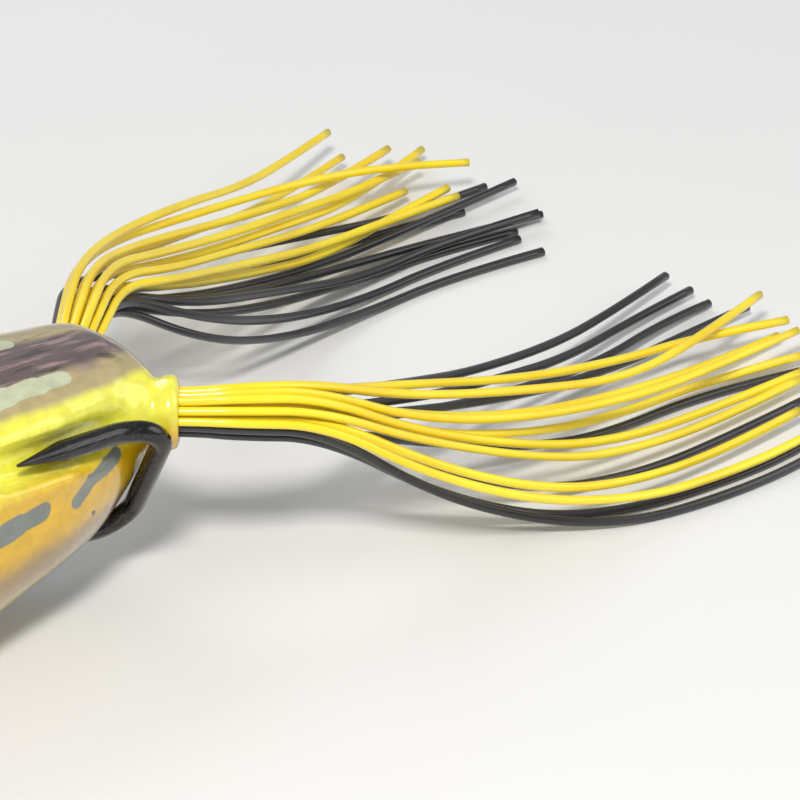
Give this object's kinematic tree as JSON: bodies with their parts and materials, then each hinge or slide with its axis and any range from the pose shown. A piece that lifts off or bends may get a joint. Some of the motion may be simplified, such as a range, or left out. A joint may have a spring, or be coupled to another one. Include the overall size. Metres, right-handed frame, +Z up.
{
  "type": "topwater popping frog lure",
  "caption": "Hollow soft-bodied popping frog lure with a cupped mouth, a double hook that hugs the body, an inner keel weight and two legs of silicone strands.",
  "frame": {"origin": "middle of the flat of the belly, under the middle of the body", "axes": "+X from the nose to the tail, +Y to the frog's right side, +Z up through the back"},
  "size_m": [0.1301, 0.0682, 0.0219],
  "materials": {
    "soft_body": "glossy soft vinyl, painted from a dark back over a yellow flank to a tan belly",
    "hook_wire": "black nickel plated wire",
    "lead_weight": "dull cast lead",
    "braze": "solder bead",
    "eye_print": "printed iris and pupil",
    "eye_clear": "clear cast resin",
    "strand_yellow": "satin silicone, bright yellow",
    "strand_black": "satin silicone, black",
    "leg_band": "plain black rubber"
  },
  "bodies": {
    "lure_body": {"body_shell": "soft_body", "double_hook": "hook_wire", "keel_weight": "lead_weight", "left_eye_disc": "eye_print", "left_eye_dome": "eye_clear", "left_leg_band": "leg_band", "left_leg_roots": "strand_yellow", "right_eye_disc": "eye_print", "right_eye_dome": "eye_clear", "right_leg_band": "leg_band", "right_leg_roots": "strand_yellow", "shank_braze": "braze"},
    "left_leg": {"left_strand_black_1": "strand_black", "left_strand_black_2": "strand_black", "left_strand_black_3": "strand_black", "left_strand_black_4": "strand_black", "left_strand_black_5": "strand_black", "left_strand_black_6": "strand_black", "left_strand_black_7": "strand_black", "left_strand_black_8": "strand_black", "left_strand_yellow_1": "strand_yellow", "left_strand_yellow_2": "strand_yellow", "left_strand_yellow_3": "strand_yellow", "left_strand_yellow_4": "strand_yellow", "left_strand_yellow_5": "strand_yellow", "left_strand_yellow_6": "strand_yellow", "left_strand_yellow_7": "strand_yellow", "left_strand_yellow_8": "strand_yellow", "left_strand_yellow_9": "strand_yellow"},
    "right_leg": {"right_strand_black_1": "strand_black", "right_strand_black_2": "strand_black", "right_strand_black_3": "strand_black", "right_strand_black_4": "strand_black", "right_strand_black_5": "strand_black", "right_strand_black_6": "strand_black", "right_strand_black_7": "strand_black", "right_strand_black_8": "strand_black", "right_strand_yellow_1": "strand_yellow", "right_strand_yellow_2": "strand_yellow", "right_strand_yellow_3": "strand_yellow", "right_strand_yellow_4": "strand_yellow", "right_strand_yellow_5": "strand_yellow", "right_strand_yellow_6": "strand_yellow", "right_strand_yellow_7": "strand_yellow", "right_strand_yellow_8": "strand_yellow", "right_strand_yellow_9": "strand_yellow"}
  },
  "joints": [
    {"name": "left_leg_swing", "type": "hinge", "parent": "lure_body", "child": "left_leg", "pos_m": [0.03, -0.0066, 0.015], "axis": [0, 0, 1], "range_deg": [-22, 4], "stiffness_Nm_per_rad": 0.00002},
    {"name": "right_leg_swing", "type": "hinge", "parent": "lure_body", "child": "right_leg", "pos_m": [0.03, 0.0066, 0.015], "axis": [0, 0, 1], "range_deg": [-4, 22], "stiffness_Nm_per_rad": 0.00002}
  ]
}
